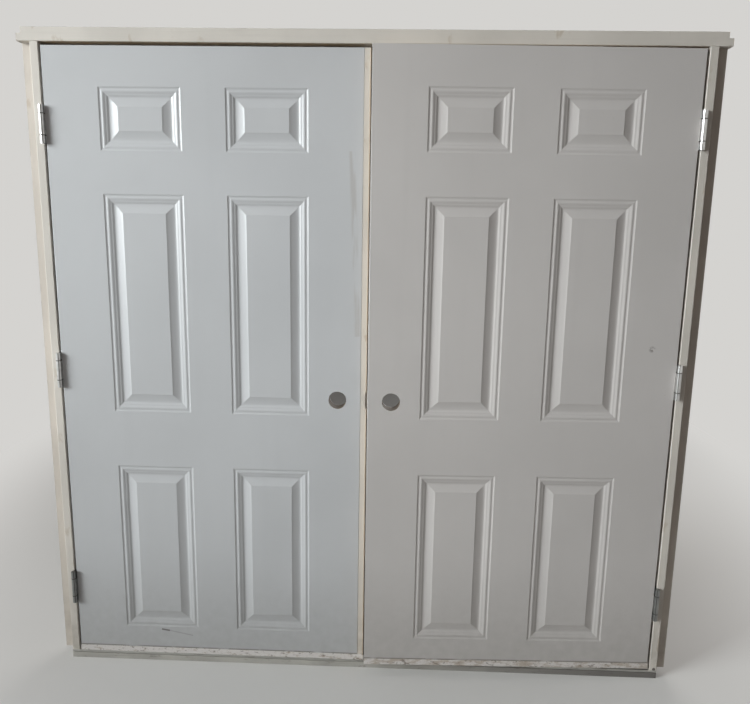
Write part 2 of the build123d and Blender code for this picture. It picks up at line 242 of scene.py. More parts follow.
class DoorSizes(bpy.types.PropertyGroup):
    """Sizes that a user would change."""

    press_rounds: IntProperty(
        name="Pressing roundness", description="How often each edge of the pressed moulding is rounded",
        default=2, min=1, max=3)
    fold_radius: FloatProperty(
        name="Fold radius", description="Radius of the fold along a leaf's long edges",
        default=0.0016, unit="LENGTH")
    screw_radius: FloatProperty(
        name="Screw head radius", description="Radius of the heads of the hinge and head screws",
        default=0.0042, unit="LENGTH")
    nail_radius: FloatProperty(
        name="Nail head radius", description="Radius of the frame nails' heads",
        default=0.0034, unit="LENGTH")
    nail_pitch: FloatProperty(
        name="Nail spacing", description="Distance between nails along the outer strips",
        default=0.40, unit="LENGTH")
    rib_radius: FloatProperty(
        name="Tread rib radius", description="Radius of the ribs on the threshold",
        default=0.0009, unit="LENGTH")
    tread_ribs: IntProperty(
        name="Tread ribs", description="Number of ribs on the back slope of the threshold",
        default=7, min=1)


class DoorColours(bpy.types.PropertyGroup):
    """Colours that a user would change."""

    leaf: FloatVectorProperty(
        name="Leaf primer", description="Grey primer of the two leaves",
        subtype="COLOR", size=3, default=(0.505, 0.50, 0.495), min=0.0, max=1.0)
    frame: FloatVectorProperty(
        name="Frame primer", description="Cream primer of the jambs and head",
        subtype="COLOR", size=3, default=(0.60, 0.558, 0.502), min=0.0, max=1.0)
    strip: FloatVectorProperty(
        name="Strip primer", description="Warmer primer of the outer strips",
        subtype="COLOR", size=3, default=(0.56, 0.505, 0.445), min=0.0, max=1.0)
    cap: FloatVectorProperty(
        name="Bottom cap", description="Tan plastic of the bottom caps",
        subtype="COLOR", size=3, default=(0.42, 0.36, 0.305), min=0.0, max=1.0)
    zinc: FloatVectorProperty(
        name="Zinc", description="Plated steel of hinges and screws",
        subtype="COLOR", size=3, default=(0.68, 0.68, 0.67), min=0.0, max=1.0)
    sill: FloatVectorProperty(
        name="Sill", description="Painted timber under the threshold",
        subtype="COLOR", size=3, default=(0.385, 0.37, 0.335), min=0.0, max=1.0)
    floor: FloatVectorProperty(
        name="Floor", description="Plain floor of the stage",
        subtype="COLOR", size=3, default=(0.72, 0.71, 0.69), min=0.0, max=1.0)


class Value:
    """A shader socket that takes part in sums."""

    def __init__(self, making, socket):
        self.making = making
        self.socket = socket

    def __add__(self, other):
        return self.making.maths("ADD", self, other)

    __radd__ = __add__

    def __sub__(self, other):
        return self.making.maths("SUBTRACT", self, other)

    def __rsub__(self, other):
        return self.making.maths("SUBTRACT", other, self)

    def __mul__(self, other):
        return self.making.maths("MULTIPLY", self, other)

    __rmul__ = __mul__

    def __gt__(self, other):
        return self.making.maths("GREATER_THAN", self, other)

    def __lt__(self, other):
        return self.making.maths("LESS_THAN", self, other)

    def __abs__(self):
        return self.making.maths("ABSOLUTE", self)


class Nodes:
    """A node tree in the making."""

    def __init__(self, tree):
        self.tree = tree

    def node(self, kind, settings, values):
        """A node of a kind: its settings first, then the values or links of its sockets."""
        made = self.tree.nodes.new(kind)
        for key, value in settings.items():
            setattr(made, key, value)
        for key, value in values.items():
            self.feed(made.inputs[key], value)
        return made

    def feed(self, socket, value):
        """Link or set one socket."""
        if isinstance(value, Value):
            value = value.socket
        if isinstance(value, bpy.types.NodeSocket):
            self.tree.links.new(value, socket)
        elif hasattr(value, "__len__") and socket.type == "RGBA":
            socket.default_value = (*value, 1.0)
        else:
            socket.default_value = value

    def maths(self, operation, first, second=0.0):
        """The number that a Math node gives."""
        made = self.node("ShaderNodeMath", {"operation": operation}, {0: first, 1: second})
        return Value(self, made.outputs[0])

    def vector(self, operation, first, second=(0.0, 0.0, 0.0)):
        """What a Vector Math node gives: a number for a length or a dot product, or else a vector."""
        made = self.node("ShaderNodeVectorMath", {"operation": operation}, {0: first, 1: second})
        if operation in ("LENGTH", "DOT_PRODUCT"):
            return Value(self, made.outputs["Value"])
        return made.outputs[0]

    def either(self, first, second):
        """The larger of two numbers."""
        return self.maths("MAXIMUM", first, second)

    def seen_rays(self):
        """1 for what the camera sees, also in a reflection or through glass, and 0 for light."""
        path = self.node("ShaderNodeLightPath", {}, {}).outputs
        direct_or_mirrored = self.either(path["Is Camera Ray"], path["Is Glossy Ray"])
        return self.either(direct_or_mirrored, path["Is Transmission Ray"])


class Finish(Nodes):
    """A material in the making, on one main shader that takes the constants."""

    # Colour sockets of a Mix node: the two that go in and the one that comes out
    MIX_FIRST, MIX_SECOND, MIX_RESULT = 6, 7, 2

    def __init__(self, name, **constants):
        self.material = bpy.data.materials.new(name)
        self.material.use_nodes = True
        super().__init__(self.material.node_tree)
        self.tree.nodes.clear()
        self.shader = self.node("ShaderNodeBsdfPrincipled", {}, constants)
        self.output = self.node("ShaderNodeOutputMaterial", {}, {"Surface": self.shader.outputs["BSDF"]})
        self.place = self.node("ShaderNodeTexCoord", {}, {}).outputs["Object"]
        self.axes = None

    def along(self, axis):
        """The object coordinate along X, Y or Z."""
        if self.axes is None:
            self.axes = self.node("ShaderNodeSeparateXYZ", {}, {0: self.place})
        return Value(self, self.axes.outputs[axis])

    def noise(self, scale, detail, stretch=None, roughness=0.5):
        """A cloudy pattern from 0 to 1. A stretch multiplies the coordinates along each axis."""
        place = self.place
        if stretch:
            place = self.node("ShaderNodeMapping", {}, {"Vector": place, "Scale": stretch}).outputs[0]
        made = self.node("ShaderNodeTexNoise", {},
                         {"Vector": place, "Scale": scale, "Detail": detail, "Roughness": roughness})
        return Value(self, made.outputs[0])

    def flecks(self, scale):
        """Distance to the nearest of many scattered points."""
        made = self.node("ShaderNodeTexVoronoi", {}, {"Vector": self.place, "Scale": scale})
        return Value(self, made.outputs["Distance"])

    def fade(self, value, low, high):
        """0 below low, 1 above high and smooth between. High may be under low."""
        made = self.node("ShaderNodeMapRange", {"interpolation_type": "SMOOTHSTEP"},
                         {"Value": value, "From Min": low, "From Max": high})
        return Value(self, made.outputs[0])

    def mix(self, factor, first, second):
        """A colour between two."""
        made = self.node("ShaderNodeMix", {"data_type": "RGBA"},
                         {0: factor, self.MIX_FIRST: first, self.MIX_SECOND: second})
        return made.outputs[self.MIX_RESULT]

    def near(self, centre, radii):
        """1 at a point and 0 outside the ellipsoid of these radii round it."""
        offset = self.vector("SUBTRACT", self.place, centre)
        return self.fade(self.vector("LENGTH", self.vector("DIVIDE", offset, radii)), 1.0, 0.0)

    def scratch(self, start, end, width):
        """1 along a line on the leaf's face and 0 beside it."""
        run = end - start
        way = run.normalized()
        offset = self.vector("SUBTRACT", self.place, start)
        far = self.vector("DOT_PRODUCT", offset, way)
        aside = self.vector("LENGTH", self.vector("CROSS_PRODUCT", offset, way))
        return self.fade(aside, width, width * 0.3) * (far > 0.0) * (far < run.length)

    def colour(self, value):
        """Feed the main shader's colour."""
        self.feed(self.shader.inputs["Base Color"], value)

    def rough(self, value):
        """Feed the main shader's roughness."""
        self.feed(self.shader.inputs["Roughness"], value)

    def bump(self, height, distance, strength):
        """Feed the main shader's normal from a height."""
        made = self.node("ShaderNodeBump", {},
                         {"Height": height, "Distance": distance, "Strength": strength})
        self.feed(self.shader.inputs["Normal"], made.outputs[0])

    def cover(self, shader, share):
        """Lay another shader over the main one by a share."""
        over = self.node("ShaderNodeMixShader", {},
                         {0: share, 1: self.shader.outputs["BSDF"], 2: shader})
        self.feed(self.output.inputs["Surface"], over.outputs[0])


def shade(colour, amount):
    """A colour made lighter or darker."""
    return tuple(min(1.0, part * amount) for part in colour)


def on_leaf(side, x, z, y=0.0):
    """A point of a leaf's own frame in the row frame."""
    return PLACES[side] @ Vector((x, y, z))


def leaf_primer(face):
    """Light grey primer on pressed steel, with the marks of handling that one leaf has. Each face's grey
    carries a tint of painted light, and its foot is darkened by dirt and painted shade.
    """
    side = face.split()[0]
    grey = bpy.context.scene.door_colours.leaf
    # Painted light: the common grey takes this face's tint, bluer on the left front and warmer on the
    # right front.
    base = tuple(part * share for part, share in zip(grey, LEAF_LIGHT_TINTS[face]))
    f = Finish(f"{face} primer", IOR=PRIMER_IOR)
    cloud = f.noise(2.2, 4.0)
    streaks = f.noise(1.0, 3.0, (16.0, 16.0, 0.9))
    tone = f.mix(f.fade(cloud, 0.32, 0.68), shade(base, 0.965), shade(base, 1.03))
    tone = f.mix(f.fade(streaks, 0.52, 0.80) * 0.30, tone, shade(base, 0.93))
    # Dirt and painted shade: the leaf grows darker towards its foot.
    darkening = f.fade(f.along("Z"), 0.42, 0.02) * (0.14 + 0.32 * f.noise(36.0, 6.0))
    tone = f.mix(darkening, tone, LEAF_FOOT_DIRT_AND_SHADE)
    # Dirt and painted shade: a dark band on the face along its seam just above the cap.
    cap_top = FOOT_Z[side] + CAP_HEIGHT
    foot_seam_dirt_and_shade = f.fade(f.along("Z"), cap_top + 0.0065, cap_top + 0.001)
    foot_seam_dirt_and_shade = foot_seam_dirt_and_shade * f.fade(f.noise(24.0, 5.0), 0.30, 0.50)
    tone = f.mix(foot_seam_dirt_and_shade * 0.75, tone, FOOT_SEAM_DIRT_AND_SHADE)
    specks = f.fade(f.flecks(46.0), 0.055, 0.02) * f.fade(f.noise(3.1, 2.0), 0.56, 0.66)
    tone = f.mix(specks * 0.5, tone, LEAF_SPECK)
    if side == "left":
        start, bend, end = (on_leaf(side, x, z) for x, z in SCRATCH)
        mark = f.either(f.scratch(start, bend, 0.0042) * 0.85, f.scratch(bend, end, 0.0030) * 0.30)
        top, low = (on_leaf(side, x, z) for x, z in RUBBED_LINE)
        rubbed = f.scratch(top, low, 0.012) * f.fade(f.noise(60.0, 2.0, (1.0, 1.0, 0.12)), 0.45, 0.62)
        tone = f.mix(rubbed * 0.35, tone, RUBBED_PRIMER)
    else:
        smudge = f.near(on_leaf(side, *SMUDGE), SMUDGE_RADII)
        torn = f.fade(f.noise(120.0, 3.0), 0.46, 0.56)
        mark = smudge * torn * 0.9
    tone = f.mix(mark, tone, LEAF_MARK)
    f.colour(tone)
    f.rough(0.29 + 0.12 * f.noise(34.0, 3.0) + 0.5 * darkening)
    peel = f.noise(520.0, 2.0)
    dents = f.noise(7.0, 2.0)
    f.bump(0.10 * peel + dents, 0.0011, 0.35)
    return f.material


def frame_primer(name, base):
    """Cream primer brushed along timber, thin enough to show a little grain."""
    f = Finish(name, IOR=PRIMER_IOR)
    along_z = f.noise(1.0, 5.0, (150.0, 150.0, 5.0))
    along_x = f.noise(1.0, 5.0, (5.0, 150.0, 150.0))
    upright = f.fade(f.along("Z"), GRAIN_LEVEL + GRAIN_BLEND, GRAIN_LEVEL)
    grain = along_z * upright + along_x * (1.0 - upright)
    blotch = f.noise(4.6, 5.0)
    tone = f.mix(f.fade(blotch, 0.34, 0.68), shade(base, 0.93), shade(base, 1.05))
    tone = f.mix(f.fade(grain, 0.54, 0.78) * 0.35, tone, shade(base, 0.84))
    scuff = f.fade(f.noise(26.0, 6.0, (1.0, 1.0, 0.45)), 0.63, 0.72)
    tone = f.mix(scuff * 0.5, tone, SCUFFED_TIMBER)
    foot = f.fade(f.along("Z"), 0.30, 0.03) * f.fade(f.noise(22.0, 5.0), 0.34, 0.70)
    tone = f.mix(foot * 0.42, tone, JAMB_FOOT_DIRT)
    spot = f.near(JAMB_SPOT, JAMB_SPOT_RADII)
    tone = f.mix(f.fade(spot, 0.15, 0.5) * 0.85, tone, JAMB_SPOT_COLOUR)
    aside = abs(f.along("X"))
    strip_ends = (aside > STRIP_END - END_MARGIN) * (f.along("Z") > HEAD_TOP)
    ends = f.either(aside > HEAD_END - END_MARGIN, strip_ends)
    rings = f.noise(60.0, 4.0, (0.1, 1.0, 2.2))
    raw = f.mix(f.fade(rings, 0.4, 0.6), END_GRAIN_DARK, END_GRAIN_LIGHT)
    tone = f.mix(ends, tone, raw)
    f.colour(tone)
    f.rough(0.58 + 0.16 * f.noise(22.0, 3.0))
    f.bump(0.55 * grain + 0.25 * f.noise(300.0, 2.0), 0.0006, 0.55)
    return f.material


def bare_pine(name, stretch):
    """Planed pine with its grain along the piece, made nearly black round the lock bores as painted
    shade.
    """
    f = Finish(name)
    grain = f.noise(1.0, 6.0, stretch, 0.62)
    figure = f.noise(1.0, 2.0, tuple(0.12 * part for part in stretch))
    tone = f.mix(f.fade(grain, 0.36, 0.64), PINE_EARLY, PINE_LATE)
    tone = f.mix(f.fade(figure, 0.48, 0.72) * 0.45, tone, PINE_FIGURE)
    soiled = f.fade(f.noise(17.0, 5.0), 0.55, 0.75)
    tone = f.mix(soiled * 0.35, tone, PINE_DIRT)
    # Painted shade: the pine round each leaf's lock bore is made nearly black.
    for side in PLACES:
        bore = f.near(on_leaf(side, BORE_X, BORE_HEIGHT), BORE_SHADE_RADII)
        tone = f.mix(f.fade(bore, 0.2, 0.6) * 0.9, tone, PINE_BORE_SHADE)
    f.colour(tone)
    f.rough(0.62 + 0.18 * grain + 0.1 * soiled)
    f.bump(0.5 * grain + 0.3 * f.noise(400.0, 2.0), 0.0005, 0.4)
    return f.material


def worn_cap(side, base, worn_from, worn_to):
    """Tan plastic cap, scuffed pale along its front and dirty in the low spots."""
    f = Finish(f"{side} worn bottom cap", IOR=1.5)
    chips = f.noise(34.0, 6.0, (0.8, 1.0, 2.2), 0.7)
    fine = f.noise(150.0, 4.0, (1.0, 1.0, 1.6), 0.6)
    tone = f.mix(f.fade(chips, worn_from, worn_to), base, CAP_WORN_PALE)
    dark = f.fade(f.noise(66.0, 5.0, (0.8, 1.0, 1.7), 0.65), 0.56, 0.64)
    tone = f.mix(dark * 0.75, tone, CAP_DIRT)
    tone = f.mix(f.fade(fine, 0.58, 0.70) * 0.6, tone, CAP_STAIN)
    f.colour(tone)
    f.rough(0.52 + 0.22 * fine)
    f.bump(0.6 * chips + 0.5 * fine, 0.0010, 0.6)
    return f.material


def zinc(name, tint):
    """Zinc plate brushed along the barrel, darker and rougher lower down, the darkening being painted
    shade, with dirt in the knuckle joints and a painted dark reflection down each barrel's front.
    """
    f = Finish(name, Metallic=1.0)
    brushed = f.noise(1.0, 3.0, (420.0, 420.0, 14.0))
    cloud = f.noise(60.0, 4.0)
    # Painted shade: the zinc of the lower hinges is made darker, and rougher too.
    dull = f.fade(f.along("Z"), 1.05, 0.42)
    tone = f.mix(f.fade(cloud, 0.35, 0.7), shade(tint, 0.84), shade(tint, 1.10))
    tone = f.mix(f.fade(brushed, 0.42, 0.66) * 0.5, tone, shade(tint, 0.55))
    tone = f.mix(dull * 0.72, tone, ZINC_LOW_SHADE)
    tarnish = f.fade(f.noise(150.0, 5.0), 0.60, 0.76)
    # Painted reflection: a dark line down the front of each barrel.
    barrel_reflection = f.fade(abs(abs(f.along("X")) - BARREL_REFLECTION_X), 0.0016, 0.0005)
    barrel_reflection = barrel_reflection * (f.along("Y") < HINGE_AXIS.y)
    level = f.along("Z") - LOWEST_HINGE - (f.along("X") > 0.0) * (FOOT_Z["right"] - FOOT_Z["left"])
    off_middle = f.maths("PINGPONG", level, HINGE_PITCH / 2)
    joint = f.fade(abs(off_middle - KNUCKLE_JOINT), 0.0020, 0.0008)
    # Dirt in the knuckle joints, tarnish and the painted dark reflection share one dark colour.
    grime_and_reflection = f.either(f.either(joint * 0.92, barrel_reflection * 0.80), tarnish * 0.35)
    tone = f.mix(grime_and_reflection, tone, ZINC_GRIME_AND_REFLECTION)
    f.colour(tone)
    f.rough(0.24 + 0.14 * brushed + 0.30 * grime_and_reflection + 0.10 * dull)
    f.bump(brushed, 0.0001, 0.25)
    return f.material


def sill_paint(base):
    """Grey paint on the sill's timber, dirty and rubbed, and darker to the right as painted shade."""
    f = Finish("sill grey paint", IOR=1.45)
    grain = f.noise(1.0, 5.0, (4.0, 120.0, 140.0))
    blotch = f.noise(11.0, 6.0)
    tone = f.mix(f.fade(blotch, 0.3, 0.7), shade(base, 0.90), shade(base, 1.12))
    tone = f.mix(f.fade(grain, 0.55, 0.75) * 0.35, tone, shade(base, 0.66))
    stain = f.fade(f.noise(60.0, 5.0, (0.5, 1.0, 1.6)), 0.60, 0.72)
    tone = f.mix(stain * 0.45, tone, SILL_STAIN)
    # Painted shade: the sill grows darker, mottled, towards its right end.
    darkening = f.fade(f.along("X"), -0.1, 0.9) * (0.55 + 0.4 * blotch)
    tone = f.mix(darkening, tone, SILL_RIGHT_SHADE)
    f.colour(tone)
    f.rough(0.62 + 0.2 * blotch)
    f.bump(grain + 0.5 * stain, 0.0007, 0.6)
    return f.material


def threshold_metal():
    """Mill finish aluminium, dull and drawn lengthways."""
    f = Finish("dull threshold metal", Metallic=0.85)
    drawn = f.noise(1.0, 3.0, (5.0, 700.0, 700.0))
    darkening = f.fade(f.noise(40.0, 6.0, (0.3, 1.0, 1.0)), 0.42, 0.74)
    tone = f.mix(f.fade(drawn, 0.3, 0.7), METAL_DARK, METAL_LIGHT)
    tone = f.mix(darkening * 0.55, tone, GREY_DUST)
    f.colour(tone)
    f.rough(0.42 + 0.10 * drawn + 0.3 * darkening)
    f.bump(drawn + 0.5 * darkening, 0.0002, 0.4)
    return f.material


def soft_seal():
    """Dark skin of the weatherstrips, faintly creased."""
    f = Finish("dark seal", IOR=1.42)
    crease = f.noise(1.0, 4.0, (90.0, 90.0, 260.0))
    dust = f.fade(f.noise(21.0, 5.0), 0.42, 0.72)
    tone = f.mix(f.fade(crease, 0.35, 0.7), SEAL_DARK, SEAL_LIGHT)
    tone = f.mix(dust * 0.35, tone, GREY_DUST)
    f.colour(tone)
    f.rough(0.58 + 0.2 * dust)
    f.bump(crease, 0.0004, 0.5)
    return f.material


def rigid_foam():
    """Pale rigid foam inside a leaf."""
    f = Finish("rigid foam")
    cells = f.flecks(420.0)
    aged = f.fade(f.noise(8.0, 4.0), 0.4, 0.7)
    tone = f.mix(f.fade(cells, 0.2, 0.7), FOAM_DARK, FOAM_LIGHT)
    tone = f.mix(aged * 0.4, tone, FOAM_AGED)
    f.colour(tone)
    f.rough(0.80 + 0.12 * aged)
    f.bump(cells, 0.0008, 0.6)
    return f.material


FINISHES = {}


def finish(name):
    """One finish of the unit, made when it is first asked for."""
    colours = bpy.context.scene.door_colours
    makers = {
        "left front face": lambda: leaf_primer("left front"),
        "right front face": lambda: leaf_primer("right front"),
        "left rear face": lambda: leaf_primer("left rear"),
        "right rear face": lambda: leaf_primer("right rear"),
        "frame": lambda: frame_primer("cream frame primer", colours.frame),
        "strips": lambda: frame_primer("warm strip primer", colours.strip),
        "meeting strip": lambda: frame_primer("meeting strip primer", shade(colours.frame, 0.97)),
        "upright pine": lambda: bare_pine("upright pine", (110.0, 110.0, 3.5)),
        "level pine": lambda: bare_pine("level pine", (3.5, 110.0, 110.0)),
        "left cap": lambda: worn_cap("left", colours.cap, 0.36, 0.47),
        "right cap": lambda: worn_cap("right", colours.cap, 0.40, 0.56),
        "hinge": lambda: zinc("bright zinc hinge", colours.zinc),
        "screw": lambda: zinc("zinc screw", shade(colours.zinc, 0.9)),
        "sill": lambda: sill_paint(colours.sill),
        "threshold": threshold_metal,
        "seal": soft_seal,
        "foam": rigid_foam,
    }
    if name not in FINISHES:
        FINISHES[name] = makers[name]()
    return FINISHES[name]


def paint(piece, name):
    """Give a piece's mesh one finish."""
    piece.data.materials.clear()
    piece.data.materials.append(finish(name))


def linked(name, data):
    """A new object that holds the data, in the scene."""
    made = bpy.data.objects.new(name, data)
    bpy.context.scene.collection.objects.link(made)
    return made


def plain_mesh(name, bm):
    """A mesh with what was built."""
    mesh = bpy.data.meshes.new(name)
    bm.to_mesh(mesh)
    bm.free()
    return mesh


def place_piece(piece, body):
    """Let a finished piece ride on a body."""
    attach(piece, body)


def apply_modifiers(piece):
    """Bake an object's modifiers into its mesh."""
    depsgraph = bpy.context.evaluated_depsgraph_get()
    mesh = bpy.data.meshes.new_from_object(piece.evaluated_get(depsgraph), depsgraph=depsgraph)
    piece.modifiers.clear()
    piece.data = mesh


def rounded(points, rounds):
    """A profile with its corners cut, over and over, so that they come out round."""
    for _ in range(rounds):
        cut = [points[0]]
        for (x0, y0), (x1, y1) in zip(points, points[1:]):
            cut.append((x0 * 0.75 + x1 * 0.25, y0 * 0.75 + y1 * 0.25))
            cut.append((x0 * 0.25 + x1 * 0.75, y0 * 0.25 + y1 * 0.75))
        cut.append(points[-1])
        points = cut
    return points


def rectangle(x0, x1, z0, z1, depth=0.0):
    """Corners of an upright rectangle at a depth, in order round it."""
    return [(x0, depth, z0), (x1, depth, z0), (x1, depth, z1), (x0, depth, z1)]


def flat_sheet(bm, fold):
    """The flat between edges, bore and panels. Gives its four corners and the panels' outlines."""
    edges = []

    def loop(points):
        verts = [bm.verts.new(p) for p in points]
        edges.extend(bm.edges.new((a, b)) for a, b in zip(verts, verts[1:] + verts[:1]))
        return verts

    outer = loop(rectangle(fold, LEAF_WIDTH - fold, 0, LEAF_HEIGHT))
    turns = [2 * math.pi * k / BORE_STEPS for k in range(BORE_STEPS)]
    loop([(BORE_X + BORE_RADIUS * math.cos(turn), 0, BORE_HEIGHT + BORE_RADIUS * math.sin(turn))
          for turn in turns])
    outlines = [loop(rectangle(*panel)) for panel in PANELS]
    filled = bmesh.ops.triangle_fill(bm, use_beauty=True, edges=edges, normal=(0, -1, 0))
    inside = []
    for face in [g for g in filled["geom"] if isinstance(g, bmesh.types.BMFace)]:
        c = face.calc_center_median()
        in_panel = any(x0 < c.x < x1 and z0 < c.z < z1 for x0, x1, z0, z1 in PANELS)
        if in_panel or math.hypot(c.x - BORE_X, c.z - BORE_HEIGHT) < BORE_RADIUS:
            inside.append(face)
    bmesh.ops.delete(bm, geom=inside, context="FACES_ONLY")
    return outer, outlines


def press_panel(bm, panel, ring, profile):
    """Sweep the moulding inwards from a panel's outline, with mitred corners, and close the middle."""
    x0, x1, z0, z1 = panel
    for inset, depth in profile[1:]:
        corners = rectangle(x0 + inset, x1 - inset, z0 + inset, z1 - inset, depth)
        following = [bm.verts.new(p) for p in corners]
        for k in range(4):
            j = (k + 1) % 4
            bm.faces.new((ring[k], ring[j], following[j], following[k]))
            bm.edges.get((ring[k], following[k])).smooth = False
        ring = following
    bm.faces.new(ring)


def fold_edge(bm, pair, edge_x, inward, fold):
    """Turn one long edge of the sheet round to the back. Inward is 1 where the sheet lies at +X."""
    rows = []
    for k in range(1, FOLD_STEPS + 1):
        angle = math.pi / 2 * k / FOLD_STEPS
        rows.append((edge_x + inward * fold * (1 - math.sin(angle)), fold * (1 - math.cos(angle))))
    rows.append((edge_x, SHEET_RETURN))
    for x, y in rows:
        following = (bm.verts.new((x, y, 0)), bm.verts.new((x, y, LEAF_HEIGHT)))
        bm.faces.new((pair[0], following[0], following[1], pair[1]))
        pair = following


def pressed_face(sizes):
    """The pressed front sheet of a leaf in the leaf's own frame, facing -Y."""
    bm = bmesh.new()
    fold = sizes.fold_radius
    profile = rounded(list(MOULDING), sizes.press_rounds)
    outer, outlines = flat_sheet(bm, fold)
    for panel, outline in zip(PANELS, outlines):
        press_panel(bm, panel, outline, profile)
    fold_edge(bm, (outer[0], outer[3]), 0.0, 1, fold)
    fold_edge(bm, (outer[1], outer[2]), LEAF_WIDTH, -1, fold)
    bmesh.ops.recalc_face_normals(bm, faces=bm.faces[:])
    if sum(f.normal.y * f.calc_area() for f in bm.faces) > 0:
        bmesh.ops.reverse_faces(bm, faces=bm.faces[:])
    for face in bm.faces:
        face.smooth = max(abs(part) for part in face.normal) < FLAT_LIMIT
    for edge in bm.edges:
        if len(edge.link_faces) == 2 and edge.calc_face_angle(0.0) > SHARP_ANGLE:
            edge.smooth = False
    return bm


def leaf_skin(side, rear, sizes):
    """One pressed sheet of a leaf, given its thickness, as a piece."""
    bm = pressed_face(sizes)
    place = PLACES[side]
    if rear:
        place = place @ Matrix.Translation((0, LEAF_THICKNESS, 0)) @ Matrix.Diagonal((1, -1, 1, 1))
    bm.transform(place)
    if place.to_3x3().determinant() < 0:
        bmesh.ops.reverse_faces(bm, faces=bm.faces[:])
    part = "rear" if rear else "front"
    name = f"{side}_leaf_{part}_face"
    piece = linked(name, plain_mesh(name, bm))
    shell = piece.modifiers.new("sheet", "SOLIDIFY")
    shell.thickness = SHEET
    shell.offset = -1.0
    shell.use_even_offset = True
    apply_modifiers(piece)
    place_piece(piece, f"{side}_leaf")
    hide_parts(f"{side}_leaf_{part}_skin")
    paint(piece, f"{side} {part} face")


def repeat_tree(name, shape):
    """A geometry tree that puts one shape on every point of a mesh and makes it real."""
    group = bpy.data.node_groups.new(name, "GeometryNodeTree")
    kinds = {"Geometry": "Geometry", "Radius": "Float", "Turn": "Vector", "Finish": "Material"}
    for title, kind in kinds.items():
        group.interface.new_socket(title, in_out="INPUT", socket_type=f"NodeSocket{kind}")
    group.interface.new_socket("Geometry", in_out="OUTPUT", socket_type="NodeSocketGeometry")
    making = Nodes(group)
    given = making.node("NodeGroupInput", {}, {}).outputs
    turn = making.node("FunctionNodeEulerToRotation", {}, {0: given["Turn"]})
    copies = making.node("GeometryNodeInstanceOnPoints", {}, {
        "Points": given["Geometry"],
        "Instance": shape(making, given["Radius"]),
        "Rotation": turn.outputs[0],
    })
    real = making.node("GeometryNodeRealizeInstances", {}, {"Geometry": copies.outputs["Instances"]})
    coat = making.node("GeometryNodeSetMaterial", {},
                       {"Geometry": real.outputs["Geometry"], "Material": given["Finish"]})
    making.node("NodeGroupOutput", {}, {"Geometry": coat.outputs["Geometry"]})
    return group


def screw_shape(making, radius):
    """A flat screw head with a cross recess, its top facing +Z."""
    head = making.node("GeometryNodeMeshCylinder", {},
                       {"Vertices": SCREW_SIDES, "Depth": FASTENER_THICKNESS, "Radius": radius})
    cross = making.node("GeometryNodeJoinGeometry", {}, {})
    for width, length in ((RECESS_WIDTH, RECESS_LENGTH), (RECESS_LENGTH, RECESS_WIDTH)):
        bar = making.node("GeometryNodeMeshCube", {}, {"Size": (width, length, RECESS_HEIGHT)})
        lift = making.node("GeometryNodeTransform", {},
                           {"Geometry": bar.outputs["Mesh"], "Translation": (0.0, 0.0, RECESS_LIFT)})
        making.feed(cross.inputs[0], lift.outputs["Geometry"])
    cut = making.node("GeometryNodeMeshBoolean", {"operation": "DIFFERENCE"},
                      {"Mesh 1": head.outputs["Mesh"], "Mesh 2": cross.outputs[0]})
    return cut.outputs["Mesh"]


def nail_shape(making, radius):
    """A low round nail head, its top facing +Z."""
    head = making.node("GeometryNodeMeshCone", {}, {
        "Vertices": NAIL_SIDES,
        "Depth": FASTENER_THICKNESS,
        "Radius Bottom": radius,
        "Radius Top": making.maths("MULTIPLY", radius, NAIL_TAPER),
    })
    return head.outputs["Mesh"]


def rib_shape(making, radius):
    """A round rib along X, to be sunk halfway into the threshold."""
    rib = making.node("GeometryNodeMeshCylinder", {},
                      {"Vertices": RIB_SIDES, "Depth": RIB_LENGTH, "Radius": radius})
    lay = making.node("GeometryNodeTransform", {},
                      {"Geometry": rib.outputs["Mesh"], "Rotation": (0.0, math.pi / 2, 0.0)})
    return lay.outputs["Geometry"]


def repeated(name, points, turn, radius, shape, finish_name, body):
    """Copies of a small shape at points, made by a geometry tree, as one plain mesh piece."""
    mesh = bpy.data.meshes.new(name)
    mesh.from_pydata([tuple(p) for p in points], [], [])
    holder = linked(name, mesh)
    tree = repeat_tree(f"{name} copies", shape)
    modifier = holder.modifiers.new("copies", "NODES")
    modifier.node_group = tree
    identifiers = {item.name: item.identifier for item in tree.interface.items_tree
                   if item.in_out == "INPUT"}
    modifier[identifiers["Radius"]] = radius
    modifier[identifiers["Turn"]] = turn
    modifier[identifiers["Finish"]] = finish(finish_name)
    apply_modifiers(holder)
    if not holder.data.polygons:
        raise RuntimeError(f"{name} came out empty")
    place_piece(holder, body)


def hinge_screw_spots(node):
    """Depth behind the leaf's face and height of a hinge plate's three screws, from its own box."""
    low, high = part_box(node)
    middle = (low.z + high.z) / 2
    height = high.z - low.z
    return [(SCREW_DEPTH + step, middle + share * height) for share, step in SCREW_ROWS]


def joint_bead():
    """The primer that fills the joint between the head and its strip."""
    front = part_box("head_jamb")[0].y
    section = ((front, HEAD_TOP - HEAD_EDGE_CUT), (front, HEAD_TOP), (front + HEAD_EDGE_CUT, HEAD_TOP))
    bm = bmesh.new()
    left, right = [[bm.verts.new((x, y, z)) for y, z in section] for x in (-STRIP_END, STRIP_END)]
    for k in range(3):
        j = (k + 1) % 3
        bm.faces.new((left[k], left[j], right[j], right[k]))
    bm.faces.new(left)
    bm.faces.new(right)
    bmesh.ops.recalc_face_normals(bm, faces=bm.faces[:])
    piece = linked("head_joint_bead", plain_mesh("head_joint_bead", bm))
    place_piece(piece, "frame")
    paint(piece, "frame")


class DOOR_OT_leaf_faces(bpy.types.Operator):
    """Press the four steel faces of the leaves and prime them"""

    bl_idname = "door.leaf_faces"
    bl_label = "Leaf faces"

    def execute(self, context):
        for side in PLACES:
            for rear in (False, True):
                leaf_skin(side, rear, context.scene.door_sizes)
        return {"FINISHED"}


